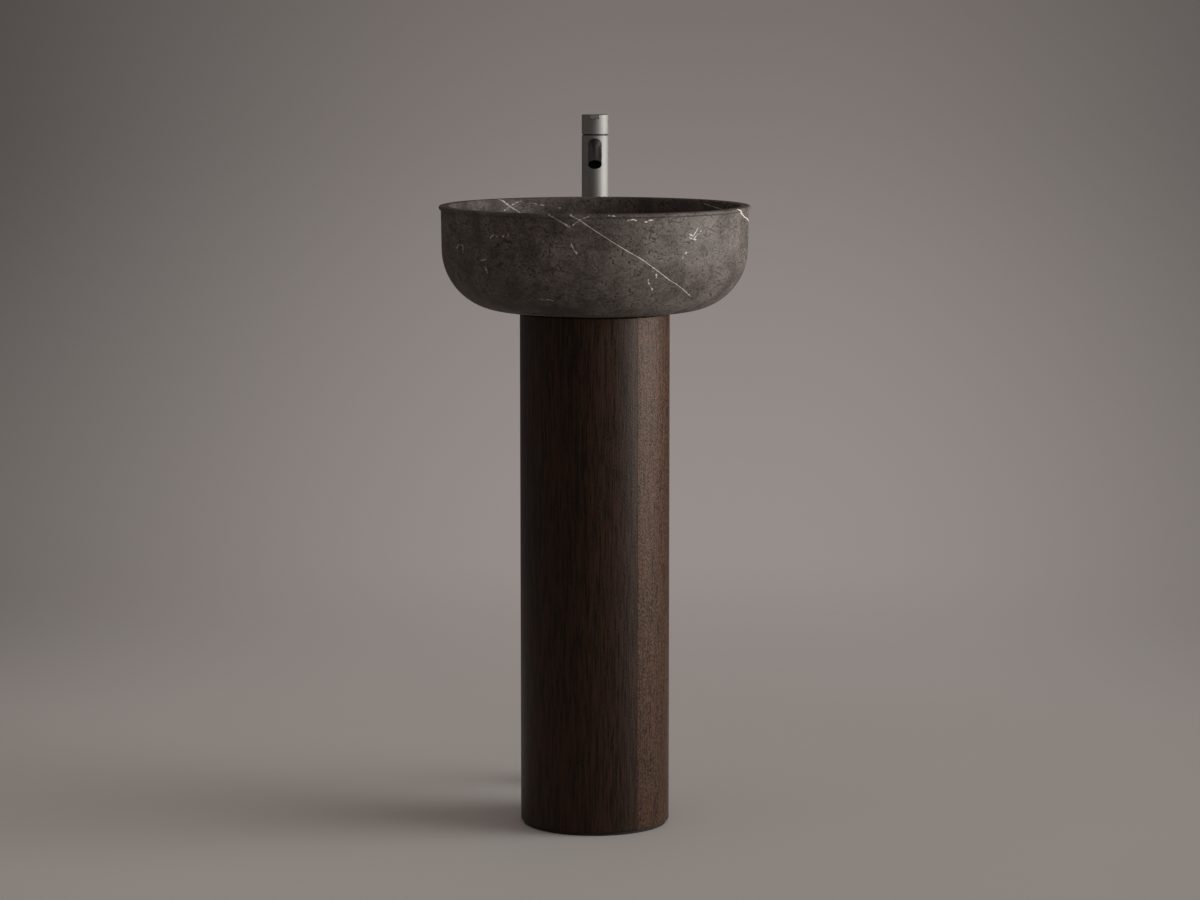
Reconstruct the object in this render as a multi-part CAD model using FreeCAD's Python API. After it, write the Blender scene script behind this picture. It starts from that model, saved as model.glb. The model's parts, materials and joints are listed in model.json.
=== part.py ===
import FreeCAD, Part
import math
import os

# Washstand: a stone bowl on a round wooden column, with a floor-standing tap behind the bowl.
# Millimetres. +Z is up, the origin lies on the floor at the column's axis, the tap stands on the +Y side.

# Fits
OVERRUN = 5.0  # how far a cutting shape runs past what it cuts
GLUE_GAP = 0.2  # glued, screwed and pushed-in fits, on each side
RUNNING_GAP = 0.05  # a stem turning in its bore, on each side
SCREW_GAP = 0.5  # a screw in its clearance hole, on each side

# Column
COLUMN_RADIUS = 108.0
COLUMN_WALL = 16.0
COLUMN_HEIGHT = 743.0
COLUMN_EDGE_ROUND = 2.5
PLINTH_HEIGHT = 4.0
PLINTH_SETBACK = 4.0
BASE_RING_THICKNESS = 24.0
BASE_RING_WIDTH = 26.0
TOP_RING_THICKNESS = 24.0
GASKET_THICKNESS = 3.0
GASKET_SETBACK = 4.0
GASKET_MARGIN = 5.0  # from the top ring's bore to the gasket's inner edge

# Floor brackets
BRACKET_COUNT = 3
BRACKET_TURN = 60.0  # degrees from +X to the first bracket
BRACKET_THICKNESS = 4.0
BRACKET_WIDTH = 30.0
BRACKET_FOOT = 34.0
ANCHOR_FROM_BORE = 46.0  # from the column's bore to the circle of the floor anchors
ANCHOR_HOLE_RADIUS = 4.5
WOOD_SCREW_RADIUS = 2.0
WOOD_SCREW_LENGTH = 12.0
WOOD_SCREW_HEAD_RADIUS = 4.0
WOOD_SCREW_HEAD_HEIGHT = 2.5
WOOD_SCREW_SPACING = 16.0

# Service panel at the back of the column
HATCH_TURN = 66.1  # degrees of the column's round that the opening takes
HATCH_HEIGHT = 310.0
HATCH_FROM_TOP = 52.0
HATCH_GAP = 1.0
BATTEN_LAP = 16.0  # how far a batten shows inside the opening
BATTEN_WIDTH = 28.0
BATTEN_BACKING = 10.0  # wood behind the batten's thin edge
BATTEN_OVERLENGTH = 12.0
MAGNET_RADIUS = 5.0
MAGNET_THICKNESS = 5.0
MAGNET_INSET = 40.0  # from the ends of the opening
STRIKE_THICKNESS = 1.5
STRIKE_GAP = 0.4  # between the curved seam and each flat magnet or strike face

# Bowl
LIP_RADIUS = 224.0
LIP_OVERHANG = 3.0
LIP_HEIGHT = 6.0
BOWL_HEIGHT = 150.0
RIM_WIDTH = 12.0
RIM_EDGE_ROUND = 2.0
WALL_FLARE = 1.0
BOWL_CORNER_RADIUS = 88.5
BASIN_CORNER_RADIUS = 70.0
BOWL_FLOOR_THICKNESS = 23.0
BASIN_FALL = 3.0

# Bowl bolts
BOLT_COUNT = 3
BOLT_TURN = 90.0  # degrees from +X to the first bolt
BOLT_RADIUS = 4.0
BOLT_HEAD_ACROSS = 13.0
BOLT_HEAD_HEIGHT = 5.3
BOLT_END_ROOM = 2.0
WASHER_RADIUS = 8.0
WASHER_THICKNESS = 1.6
INSERT_RADIUS = 6.0
INSERT_LENGTH = 14.0
INSERT_END_ROOM = 1.0

# Waste
WASTE_FLANGE_RADIUS = 33.0
WASTE_FLANGE_THICKNESS = 3.0
WASTE_FLANGE_DISH = 3.0
FLANGE_SEAL_THICKNESS = 1.5
FLANGE_SEAL_SETBACK = 2.0
WASTE_TAIL_RADIUS = 20.0
WASTE_TAIL_WALL = 2.0
WASTE_TAIL_DROP = 55.0  # below the bowl's underside
STONE_HOLE_GAP = 2.5
WASTE_WASHER_RADIUS = 34.0
WASTE_WASHER_THICKNESS = 4.0
WASTE_NUT_ACROSS = 55.0
WASTE_NUT_THICKNESS = 8.0
WASTE_NUT_ROOM = 11.0  # from the washer to the top ring's bore

# Click plug
LEDGE_DEPTH = 26.0  # from the basin floor to the ledge that carries the click cartridge
LEDGE_WIDTH = 1.5
SPIDER_HEIGHT = 8.0
SPIDER_RIM = 2.3
SPOKE_COUNT = 3
SPOKE_WIDTH = 3.0
CLICK_HUB_RADIUS = 8.0
CLICK_HUB_LENGTH = 46.0
CLICK_HUB_FLOOR = 2.0
CLICK_BORE_GAP = 0.3
PLUG_RADIUS = 31.0
PLUG_THICKNESS = 5.0
PLUG_EDGE_ROUND = 2.0
PLUG_DOME = 1.5
PLUG_TRAVEL = 6.0
PLUG_STEM_RADIUS = 4.0
PLUG_SEAL_THICKNESS = 2.6
PLUG_SEAL_WIDTH = 5.0
PLUG_SEAL_SETBACK = 3.0
PLUG_REST_GAP = 0.4  # left over the flange when the plug is down
SPRING_LENGTH = 18.0
SPRING_RADIUS = 3.0
SPRING_WIRE_RADIUS = 0.4
SPRING_TURNS = 7

# Trap
PIPE_RADIUS = 16.0
PIPE_WALL = 1.5
INLET_LIP_STEP = 0.5
INLET_LIP_THICKNESS = 2.0
UNION_SEAL_THICKNESS = 2.0
UNION_NUT_RADIUS = 26.0
UNION_NUT_LAP = 14.0
NUT_FLOOR = 5.0  # the inward shoulder of each slip nut
NUT_RIB_COUNT = 12
NUT_RIB_RADIUS = 1.5
TRAP_DROP = 45.0  # from the waste's end to the trap's shoulder
TRAP_RADIUS = 27.0
TRAP_WALL = 2.0
TRAP_SHOULDER = 4.0
TRAP_HEIGHT = 75.0
TRAP_NECK_WALL = 3.3
TRAP_NECK_HEIGHT = 10.0
TRAP_NUT_RADIUS = 24.0
TRAP_NUT_CLEAR = 1.0
SLIP_SEAL_THICKNESS = 3.0
DIP_CLEARANCE = 15.0
CUP_LAP = 12.0
CUP_WALL = 2.5
CUP_DEPTH = 28.0
CUP_FLOOR = 3.0
CUP_ROUND = 10.0
CUP_SEAL_THICKNESS = 2.0
CUP_SEAL_WIDTH = 3.0
OUTLET_DROP = 25.0  # from the trap's shoulder to the outlet's axis
ELBOW_REACH = 25.5  # from the trap's wall to the drain's axis
ELBOW_BEND_RADIUS = 22.0
ELBOW_WALL = 3.0
SOCKET_LENGTH = 22.0
SOCKET_DEPTH = 18.0
SOCKET_WALL = 2.6
SOCKET_END_ROOM = 1.0
DRAIN_NUT_RADIUS = 21.0
DRAIN_NUT_LAP = 12.0
STOP_BEAD_RADIUS = 17.2
STOP_BEAD_HEIGHT = 4.0
STOP_BEAD_LEVEL = 40.0  # the drain pipe goes this far into a floor socket
DRAIN_CLEAR = 4.0  # room round the drain pipe where it passes the base

# Tap on the floor
TAP_RADIUS = 20.0
TAP_WALL = 2.0
TAP_GAP = 20.0  # from the bowl's lip to the tap
TAP_RISE = 121.0  # above the bowl's rim
TAP_EDGE_ROUND = 0.5
TAP_FLANGE_RADIUS = 45.0
TAP_FLANGE_THICKNESS = 8.0
TAP_BOLT_COUNT = 4
TAP_BOLT_TURN = 45.0
TAP_BOLT_CIRCLE_RADIUS = 33.5
TAP_BOLT_HOLE_RADIUS = 3.3
SPIGOT_HEIGHT = 40.0
SPIGOT_WALL = 2.8
COVER_RADIUS = 50.0
COVER_HEIGHT = 14.0
COVER_WALL = 1.5
COVER_EDGE_ROUND = 1.0
COVER_GAP = 0.6
COVER_RING_WIDTH = 2.5
COVER_RING_HEIGHT = 2.0

# Tap valve
CAP_HEIGHT = 29.0
CAP_WALL = 3.0
CAP_TOP = 6.0
CAP_EDGE_ROUND = 0.8
GROOVE_HEIGHT = 2.0
TAB_WIDTH = 15.0
TAB_THICKNESS = 5.5
TAB_REACH = 22.0
TAB_EDGE_ROUND = 1.2
BOSS_RADIUS = 8.0
BOSS_HEIGHT = 7.0
BOSS_END = 1.0  # metal left over the stem
STEM_RADIUS = 4.0
STEM_DEPTH = 7.0  # how far the stem reaches into the cartridge
STEM_END_ROOM = 0.5
GRUB_RADIUS = 2.0
GRUB_HOLE_RADIUS = 2.5
GRUB_PLUG_SINK = 0.4
VALVE_LENGTH = 52.0  # below the top of the riser
VALVE_NECK_RADIUS = 15.5
VALVE_NECK_HEIGHT = 17.0
CARTRIDGE_RADIUS = 12.8
CARTRIDGE_HEIGHT = 13.0
CARTRIDGE_SEAT_RISE = 1.0  # above the top of the riser
CARTRIDGE_PORT_RADIUS = 3.0
CARTRIDGE_PORT_DEPTH = 4.0
CARTRIDGE_NUT_BORE = 6.0
GLIDE_GAP = 0.2
GLIDE_SETBACK = 1.5
VALVE_OUTLET_RADIUS = 4.5

# Spout
SPOUT_RADIUS = 10.0
SPOUT_WALL = 0.9
SPOUT_REACH = 150.0  # from the tap's axis to the middle of the mouth
SPOUT_SLOPE = 9.9  # degrees below level
SPOUT_DROP = 11.0  # from the top of the riser to the spout's axis, at the tap's axis
SPOUT_INSERT = 6.0
SPOUT_SEAL_THICKNESS = 1.5
SPOUT_SEAL_BORE = 5.5
MOUTH_SLOPE = 24.0  # degrees, the mouth rises towards the front
STRAIGHTENER_THICKNESS = 6.0
STRAIGHTENER_SINK = 4.0
STRAIGHTENER_HOLE_RADIUS = 1.0
STRAIGHTENER_HOLE_SPACING = 2.8

# Supply tubes
SUPPLY_SPACING = 18.0
SUPPLY_RADIUS = 5.0
SUPPLY_WALL = 1.0
SUPPLY_INSERT = 12.0
SUPPLY_NUT_ACROSS = 15.0
SUPPLY_NUT_HEIGHT = 12.0

# Levels
column_bottom = PLINTH_HEIGHT
column_top = column_bottom + COLUMN_HEIGHT
seat = column_top + GASKET_THICKNESS
rim = seat + BOWL_HEIGHT
basin_floor = seat + BOWL_FLOOR_THICKNESS
hatch_top = column_top - HATCH_FROM_TOP
hatch_bottom = hatch_top - HATCH_HEIGHT

# Column sizes that follow
column_bore = COLUMN_RADIUS - COLUMN_WALL
lining_radius = column_bore - GLUE_GAP
base_ring_bore = lining_radius - BASE_RING_WIDTH
top_ring_bore = WASTE_WASHER_RADIUS + WASTE_NUT_ROOM
top_ring_bottom = column_top - TOP_RING_THICKNESS
bolt_circle = (top_ring_bore + lining_radius) / 2
bolt_hole = BOLT_RADIUS + SCREW_GAP
bracket_back = math.sqrt(base_ring_bore**2 - (BRACKET_WIDTH / 2) ** 2) - GLUE_GAP
bracket_front = bracket_back - BRACKET_THICKNESS
bracket_top = PLINTH_HEIGHT + BASE_RING_THICKNESS
anchor_circle = column_bore - ANCHOR_FROM_BORE
hatch_half = COLUMN_RADIUS * math.sin(math.radians(HATCH_TURN / 2))
magnet_x = hatch_half - BATTEN_LAP / 2
magnet_turn = math.degrees(math.acos(magnet_x / column_bore))
magnet_levels = (hatch_bottom + MAGNET_INSET, hatch_top - MAGNET_INSET)

# Waste sizes that follow
flange_bottom = basin_floor - WASTE_FLANGE_THICKNESS
recess_floor = flange_bottom - FLANGE_SEAL_THICKNESS
recess_radius = WASTE_FLANGE_RADIUS + SCREW_GAP
stone_hole = WASTE_TAIL_RADIUS + STONE_HOLE_GAP
tail_bore = WASTE_TAIL_RADIUS - WASTE_TAIL_WALL
tail_bottom = seat - WASTE_TAIL_DROP
ledge = basin_floor - LEDGE_DEPTH
ledge_bore = tail_bore - LEDGE_WIDTH
hub_top = ledge + SPIDER_HEIGHT
hub_bottom = hub_top - CLICK_HUB_LENGTH
spring_bottom = hub_bottom + CLICK_HUB_FLOOR
stem_bottom = spring_bottom + SPRING_LENGTH
plug_seal_bottom = basin_floor + PLUG_REST_GAP + PLUG_TRAVEL
plug_bottom = plug_seal_bottom + PLUG_SEAL_THICKNESS
plug_top = plug_bottom + PLUG_THICKNESS

# Trap sizes that follow
pipe_bore = PIPE_RADIUS - PIPE_WALL
pipe_fit = PIPE_RADIUS + GLUE_GAP
inlet_lip_radius = WASTE_TAIL_RADIUS - INLET_LIP_STEP
inlet_top = tail_bottom - UNION_SEAL_THICKNESS
inlet_lip_bottom = inlet_top - INLET_LIP_THICKNESS
trap_top = tail_bottom - TRAP_DROP
trap_bottom = trap_top - TRAP_HEIGHT
neck_radius = pipe_fit + TRAP_NECK_WALL
neck_top = trap_top + TRAP_NECK_HEIGHT
outlet_level = trap_top - OUTLET_DROP
socket_top = outlet_level - ELBOW_BEND_RADIUS
socket_bottom = socket_top - SOCKET_LENGTH
socket_radius = pipe_fit + SOCKET_WALL
drain_top = socket_bottom + SOCKET_DEPTH - SOCKET_END_ROOM
drain_x = TRAP_RADIUS + ELBOW_REACH
drain_at = (drain_x, 0)

# Tap sizes that follow
tap_y = LIP_RADIUS + TAP_GAP + TAP_RADIUS
tap_at = (0, tap_y)
tap_top = rim + TAP_RISE
cap_bottom = tap_top - CAP_HEIGHT
riser_top = cap_bottom - GROOVE_HEIGHT
tap_bore = TAP_RADIUS - TAP_WALL
valve_radius = tap_bore - GLUE_GAP
valve_bottom = riser_top - VALVE_LENGTH
valve_neck_top = riser_top + VALVE_NECK_HEIGHT
cartridge_seat = riser_top + CARTRIDGE_SEAT_RISE
cartridge_top = cartridge_seat + CARTRIDGE_HEIGHT
cap_ceiling = tap_top - CAP_TOP
boss_bottom = cap_ceiling - BOSS_HEIGHT
grub_level = cap_ceiling - BOSS_HEIGHT / 2
stem_fit = STEM_RADIUS + RUNNING_GAP
spigot_radius = tap_bore - GLUE_GAP
supply_fit = SUPPLY_RADIUS + GLUE_GAP

# Spout sizes that follow
spout_cos = math.cos(math.radians(SPOUT_SLOPE))
spout_fit = SPOUT_RADIUS + GLUE_GAP
spout_bore = SPOUT_RADIUS - SPOUT_WALL
spout_root = (valve_radius - SPOUT_INSERT) / spout_cos
spout_mouth = SPOUT_REACH / spout_cos
mouth_half = SPOUT_RADIUS / math.tan(math.radians(SPOUT_SLOPE + MOUTH_SLOPE))

# Rounded edges: the middle of a quarter arc lies this share of its radius in from each edge
QUARTER_ARC_SHARE = 1 - math.sqrt(0.5)

Vector = FreeCAD.Vector
UP = Vector(0, 0, 1)


def disc(radius, bottom, top, at=(0, 0)):
    """A round bar standing on Z."""
    return Part.makeCylinder(radius, top - bottom, Vector(at[0], at[1], bottom))


def ring(outer, inner, bottom, top, at=(0, 0)):
    """A round bar with a bore right through."""
    return disc(outer, bottom, top, at).cut(disc(inner, bottom - OVERRUN, top + OVERRUN, at))


def hexagon(across, bottom, top, at=(0, 0)):
    """A hexagonal bar standing on Z, two of its flats facing X."""
    radius = across / 2 / math.cos(math.pi / 6)
    corners = []
    for k in range(7):
        turn = math.pi * (2 * k + 1) / 6
        corners.append(Vector(at[0] + radius * math.cos(turn), at[1] + radius * math.sin(turn), bottom))
    return Part.Face(Part.makePolygon(corners)).extrude(UP * (top - bottom))


def box(low, high):
    """A block between two corners."""
    return Part.makeBox(high[0] - low[0], high[1] - low[1], high[2] - low[2], Vector(*low))


def turned(start, *steps, at=(0, 0)):
    """A turned solid: a step is a point (r, z), or two points for an arc through the first of them."""
    here = Vector(start[0], 0, start[1])
    edges = []
    for step in steps + (start,):
        arc = isinstance(step[0], tuple)
        end = step[1] if arc else step
        there = Vector(end[0], 0, end[1])
        if arc:
            middle = Vector(step[0][0], 0, step[0][1])
            edges.append(Part.Arc(here, middle, there).toShape())
        else:
            edges.append(Part.makeLine(here, there))
        here = there
    solid = Part.Face(Part.Wire(edges)).revolve(Vector(0, 0, 0), UP, 360)
    if solid.Volume < 0:
        solid.reverse()
    solid.translate(Vector(at[0], at[1], 0))
    return solid


def turns(shape, count, first, at=(0, 0)):
    """Copies of a shape set round a vertical axis, the shape being drawn on the +X side."""
    copies = []
    for k in range(count):
        copy = shape.copy()
        copy.rotate(Vector(at[0], at[1], 0), UP, first + 360 * k / count)
        copies.append(copy)
    return copies


def slip_nut(radius, wide_bore, narrow_bore, open_end, shoulder, closed_end, at=(0, 0)):
    """A ribbed nut: the wide bore runs from its open end to the shoulder, the narrow one through the rest."""
    low = min(open_end, closed_end)
    high = max(open_end, closed_end)
    nut = disc(radius, low, high, at)
    rib = disc(NUT_RIB_RADIUS, low, high, (at[0] + radius, at[1]))
    nut = nut.fuse(turns(rib, NUT_RIB_COUNT, 0, at))
    beyond = open_end + math.copysign(OVERRUN, open_end - shoulder)
    nut = nut.cut(disc(wide_bore, min(beyond, shoulder), max(beyond, shoulder), at))
    return nut.cut(disc(narrow_bore, low - OVERRUN, high + OVERRUN, at))


def hatch_block(gap):
    """The block behind the column that the service panel fills, less a gap all round."""
    half = hatch_half - gap
    return box((-half, 0, hatch_bottom + gap), (half, COLUMN_RADIUS + OVERRUN, hatch_top - gap))


def radial_disc(radius, inner, outer, turn, level):
    """A flat disc whose axis points out from the column's axis."""
    bar = Part.makeCylinder(radius, outer - inner, Vector(inner, 0, level), Vector(1, 0, 0))
    bar.rotate(Vector(0, 0, 0), UP, turn)
    return bar


def hatch_discs(radius, inner, outer):
    """The four flat discs where the panel meets its battens."""
    discs = []
    for level in magnet_levels:
        for turn in (magnet_turn, 180 - magnet_turn):
            discs.append(radial_disc(radius, inner, outer, turn, level))
    return discs


def strike_discs(gap, overrun):
    """The steel strikes in the panel, or with a gap and an overrun the recesses that hold them."""
    inner = column_bore + STRIKE_GAP
    return hatch_discs(MAGNET_RADIUS + gap, inner - overrun, inner + STRIKE_THICKNESS + gap)


def magnet_discs(gap, overrun):
    """The magnets in the battens, or with a gap and an overrun the recesses that hold them."""
    outer = math.sqrt(lining_radius**2 - MAGNET_RADIUS**2) - STRIKE_GAP
    return hatch_discs(MAGNET_RADIUS + gap, outer - MAGNET_THICKNESS - gap, outer + overrun)


def bolt_holes(bottom, top):
    """Clearance holes for the bolts that hold the bowl."""
    return turns(disc(bolt_hole, bottom, top, (bolt_circle, 0)), BOLT_COUNT, BOLT_TURN)


def column_tube():
    """The column's wall before the service opening is cut."""
    edge = COLUMN_EDGE_ROUND
    inset = edge * QUARTER_ARC_SHARE
    return turned(
        (column_bore, column_bottom),
        (COLUMN_RADIUS - edge, column_bottom),
        ((COLUMN_RADIUS - inset, column_bottom + inset), (COLUMN_RADIUS, column_bottom + edge)),
        (COLUMN_RADIUS, column_top - edge),
        ((COLUMN_RADIUS - inset, column_top - inset), (COLUMN_RADIUS - edge, column_top)),
        (column_bore, column_top),
    )


def column_shell():
    return column_tube().cut(hatch_block(0))


def hatch_panel():
    panel = column_tube().common(hatch_block(HATCH_GAP))
    return panel.cut(Part.makeCompound(strike_discs(GLUE_GAP, OVERRUN)))


def hatch_strike_plates():
    return Part.makeCompound(strike_discs(0, 0))


def hatch_battens():
    inner = hatch_half - BATTEN_LAP
    outer = inner + BATTEN_WIDTH
    back = math.sqrt(lining_radius**2 - outer**2) - BATTEN_BACKING
    low = hatch_bottom - BATTEN_OVERLENGTH
    high = hatch_top + BATTEN_OVERLENGTH
    bore = disc(lining_radius, low - OVERRUN, high + OVERRUN)
    battens = []
    for near, far in ((inner, outer), (-outer, -inner)):
        batten = box((near, back, low), (far, lining_radius, high)).common(bore)
        battens.append(batten.cut(Part.makeCompound(magnet_discs(GLUE_GAP, OVERRUN))))
    return Part.makeCompound(battens)


def hatch_magnets():
    return Part.makeCompound(magnet_discs(0, 0))


def top_ring():
    plate = ring(lining_radius, top_ring_bore, top_ring_bottom, column_top)
    return plate.cut(bolt_holes(top_ring_bottom - OVERRUN, column_top + OVERRUN))


def bearing_gasket():
    pad = ring(COLUMN_RADIUS - GASKET_SETBACK, top_ring_bore + GASKET_MARGIN, column_top, seat)
    return pad.cut(bolt_holes(column_top - OVERRUN, seat + OVERRUN))


def wood_screws(gap):
    """The screws through each bracket into the base ring, or with a gap the holes that take them."""
    level = PLINTH_HEIGHT + BASE_RING_THICKNESS / 2
    screws = []
    for side in (-1, 1):
        y = side * WOOD_SCREW_SPACING / 2
        start = Vector(bracket_front, y, level)
        shank = Part.makeCylinder(WOOD_SCREW_RADIUS + gap, WOOD_SCREW_LENGTH + gap, start, Vector(1, 0, 0))
        head = Part.makeCylinder(WOOD_SCREW_HEAD_RADIUS, WOOD_SCREW_HEAD_HEIGHT, start, Vector(-1, 0, 0))
        screws.append(shank if gap else shank.fuse(head))
    return screws


def all_wood_screws(gap):
    screws = []
    for screw in wood_screws(gap):
        screws += turns(screw, BRACKET_COUNT, BRACKET_TURN)
    return Part.makeCompound(screws)


def drain_notch():
    """The round space that the base leaves for the drain pipe."""
    return disc(PIPE_RADIUS + DRAIN_CLEAR, -OVERRUN, bracket_top + OVERRUN, drain_at)


def base_ring():
    plate = ring(lining_radius, base_ring_bore, column_bottom, column_bottom + BASE_RING_THICKNESS)
    return plate.cut([all_wood_screws(GLUE_GAP), drain_notch()])


def plinth_ring():
    return ring(COLUMN_RADIUS - PLINTH_SETBACK, base_ring_bore, 0, PLINTH_HEIGHT).cut(drain_notch())


def floor_brackets():
    half = BRACKET_WIDTH / 2
    foot = box((bracket_back - BRACKET_FOOT, -half, 0), (bracket_back, half, BRACKET_THICKNESS))
    upright = box((bracket_front, -half, 0), (bracket_back, half, bracket_top))
    hole = disc(ANCHOR_HOLE_RADIUS, -OVERRUN, BRACKET_THICKNESS + OVERRUN, (anchor_circle, 0))
    bracket = foot.fuse(upright).removeSplitter().cut(hole)
    brackets = Part.makeCompound(turns(bracket, BRACKET_COUNT, BRACKET_TURN))
    return brackets.cut(all_wood_screws(GLUE_GAP))


def bracket_screws():
    return all_wood_screws(0)


def basin_bowl():
    lip_root = LIP_RADIUS - LIP_OVERHANG
    wall_foot = lip_root - WALL_FLARE
    rim_inner = lip_root - RIM_WIDTH
    basin_foot = rim_inner - WALL_FLARE
    edge = RIM_EDGE_ROUND
    edge_inset = edge * QUARTER_ARC_SHARE
    outer_inset = BOWL_CORNER_RADIUS * QUARTER_ARC_SHARE
    inner_inset = BASIN_CORNER_RADIUS * QUARTER_ARC_SHARE
    floor_edge = basin_floor + BASIN_FALL
    bowl = turned(
        (stone_hole, seat),
        (wall_foot - BOWL_CORNER_RADIUS, seat),
        ((wall_foot - outer_inset, seat + outer_inset), (wall_foot, seat + BOWL_CORNER_RADIUS)),
        (lip_root, rim - LIP_HEIGHT),
        ((LIP_RADIUS, rim - LIP_HEIGHT / 2), (lip_root, rim)),
        (rim_inner + edge, rim),
        ((rim_inner + edge_inset, rim - edge_inset), (rim_inner, rim - edge)),
        (basin_foot, floor_edge + BASIN_CORNER_RADIUS),
        (
            (basin_foot - inner_inset, floor_edge + inner_inset),
            (basin_foot - BASIN_CORNER_RADIUS, floor_edge),
        ),
        (recess_radius, basin_floor),
        (recess_radius, recess_floor),
        (stone_hole, recess_floor),
    )
    depth = INSERT_LENGTH + INSERT_END_ROOM
    hole = disc(INSERT_RADIUS + GLUE_GAP, seat - OVERRUN, seat + depth, (bolt_circle, 0))
    return bowl.cut(turns(hole, BOLT_COUNT, BOLT_TURN))


def stone_inserts():
    sleeve = ring(INSERT_RADIUS, BOLT_RADIUS + GLUE_GAP, seat, seat + INSERT_LENGTH, (bolt_circle, 0))
    return Part.makeCompound(turns(sleeve, BOLT_COUNT, BOLT_TURN))


def bolt_washers():
    bottom = top_ring_bottom - WASHER_THICKNESS
    washer = ring(WASHER_RADIUS, bolt_hole, bottom, top_ring_bottom, (bolt_circle, 0))
    return Part.makeCompound(turns(washer, BOLT_COUNT, BOLT_TURN))


def bowl_bolts():
    under_head = top_ring_bottom - WASHER_THICKNESS
    head = hexagon(BOLT_HEAD_ACROSS, under_head - BOLT_HEAD_HEIGHT, under_head, (bolt_circle, 0))
    shank = disc(BOLT_RADIUS, under_head, seat + INSERT_LENGTH - BOLT_END_ROOM, (bolt_circle, 0))
    return Part.makeCompound(turns(head.fuse(shank), BOLT_COUNT, BOLT_TURN))


def waste_body():
    return turned(
        (tail_bore + WASTE_FLANGE_DISH, basin_floor),
        (WASTE_FLANGE_RADIUS, basin_floor),
        (WASTE_FLANGE_RADIUS, flange_bottom),
        (WASTE_TAIL_RADIUS, flange_bottom),
        (WASTE_TAIL_RADIUS, tail_bottom),
        (ledge_bore, tail_bottom),
        (ledge_bore, ledge),
        (tail_bore, ledge),
        (tail_bore, basin_floor - WASTE_FLANGE_DISH),
    )


def waste_flange_seal():
    return ring(WASTE_FLANGE_RADIUS - FLANGE_SEAL_SETBACK, stone_hole, recess_floor, flange_bottom)


def waste_rubber_washer():
    return ring(WASTE_WASHER_RADIUS, WASTE_TAIL_RADIUS + GLUE_GAP, seat - WASTE_WASHER_THICKNESS, seat)


def waste_back_nut():
    top = seat - WASTE_WASHER_THICKNESS
    nut = hexagon(WASTE_NUT_ACROSS, top - WASTE_NUT_THICKNESS, top)
    return nut.cut(disc(WASTE_TAIL_RADIUS + GLUE_GAP, top - WASTE_NUT_THICKNESS - OVERRUN, top + OVERRUN))


def click_cartridge():
    rim_radius = tail_bore - GLUE_GAP
    middle = rim_radius - SPIDER_RIM / 2
    half = SPOKE_WIDTH / 2
    spoke = box((0, -half, ledge), (middle, half, hub_top))
    cage = ring(rim_radius, rim_radius - SPIDER_RIM, ledge, hub_top)
    cage = cage.fuse(turns(spoke, SPOKE_COUNT, 0) + [disc(CLICK_HUB_RADIUS, hub_bottom, hub_top)])
    bore = disc(PLUG_STEM_RADIUS + CLICK_BORE_GAP, spring_bottom, hub_top + OVERRUN)
    return cage.cut(bore).removeSplitter()


def click_spring():
    low = spring_bottom + SPRING_WIRE_RADIUS
    height = SPRING_LENGTH - SPRING_WIRE_RADIUS - SPRING_WIRE_RADIUS
    coil = Part.makeHelix(height / SPRING_TURNS, height, SPRING_RADIUS)
    section = Part.Wire(Part.makeCircle(SPRING_WIRE_RADIUS, Vector(SPRING_RADIUS, 0, 0), Vector(0, 1, 0)))
    spring = Part.Wire(coil).makePipeShell([section], True, True)
    spring.translate(Vector(0, 0, low))
    return spring


def waste_plug():
    edge = PLUG_EDGE_ROUND
    inset = edge * QUARTER_ARC_SHARE
    shoulder = plug_top - PLUG_DOME
    dome_edge = PLUG_RADIUS - edge
    ball = (dome_edge**2 + PLUG_DOME**2) / PLUG_DOME / 2
    dome_middle = plug_top - ball + math.sqrt(ball**2 - (dome_edge / 2) ** 2)
    return turned(
        (0, stem_bottom),
        (PLUG_STEM_RADIUS, stem_bottom),
        (PLUG_STEM_RADIUS, plug_bottom),
        (PLUG_RADIUS, plug_bottom),
        (PLUG_RADIUS, shoulder - edge),
        ((PLUG_RADIUS - inset, shoulder - inset), (dome_edge, shoulder)),
        ((dome_edge / 2, dome_middle), (0, plug_top)),
    )


def plug_seal():
    outer = PLUG_RADIUS - PLUG_SEAL_SETBACK
    return ring(outer, outer - PLUG_SEAL_WIDTH, plug_seal_bottom, plug_bottom)


def trap_union_seal():
    return ring(inlet_lip_radius, pipe_bore, inlet_top, tail_bottom)


def trap_union_nut():
    return slip_nut(
        UNION_NUT_RADIUS,
        WASTE_TAIL_RADIUS + GLUE_GAP,
        pipe_fit,
        tail_bottom + UNION_NUT_LAP,
        inlet_lip_bottom,
        inlet_lip_bottom - NUT_FLOOR,
    )


def trap_inlet_pipe():
    pipe = disc(PIPE_RADIUS, trap_bottom + DIP_CLEARANCE, inlet_top)
    lip = disc(inlet_lip_radius, inlet_lip_bottom, inlet_top)
    return pipe.fuse(lip).cut(disc(pipe_bore, trap_bottom, inlet_top + OVERRUN))


def trap_inlet_seal():
    return ring(neck_radius, pipe_fit, neck_top, neck_top + SLIP_SEAL_THICKNESS)


def trap_inlet_nut():
    shoulder = neck_top + SLIP_SEAL_THICKNESS
    return slip_nut(
        TRAP_NUT_RADIUS,
        neck_radius + GLUE_GAP,
        pipe_fit,
        trap_top + TRAP_NUT_CLEAR,
        shoulder,
        shoulder + NUT_FLOOR,
    )


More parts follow.
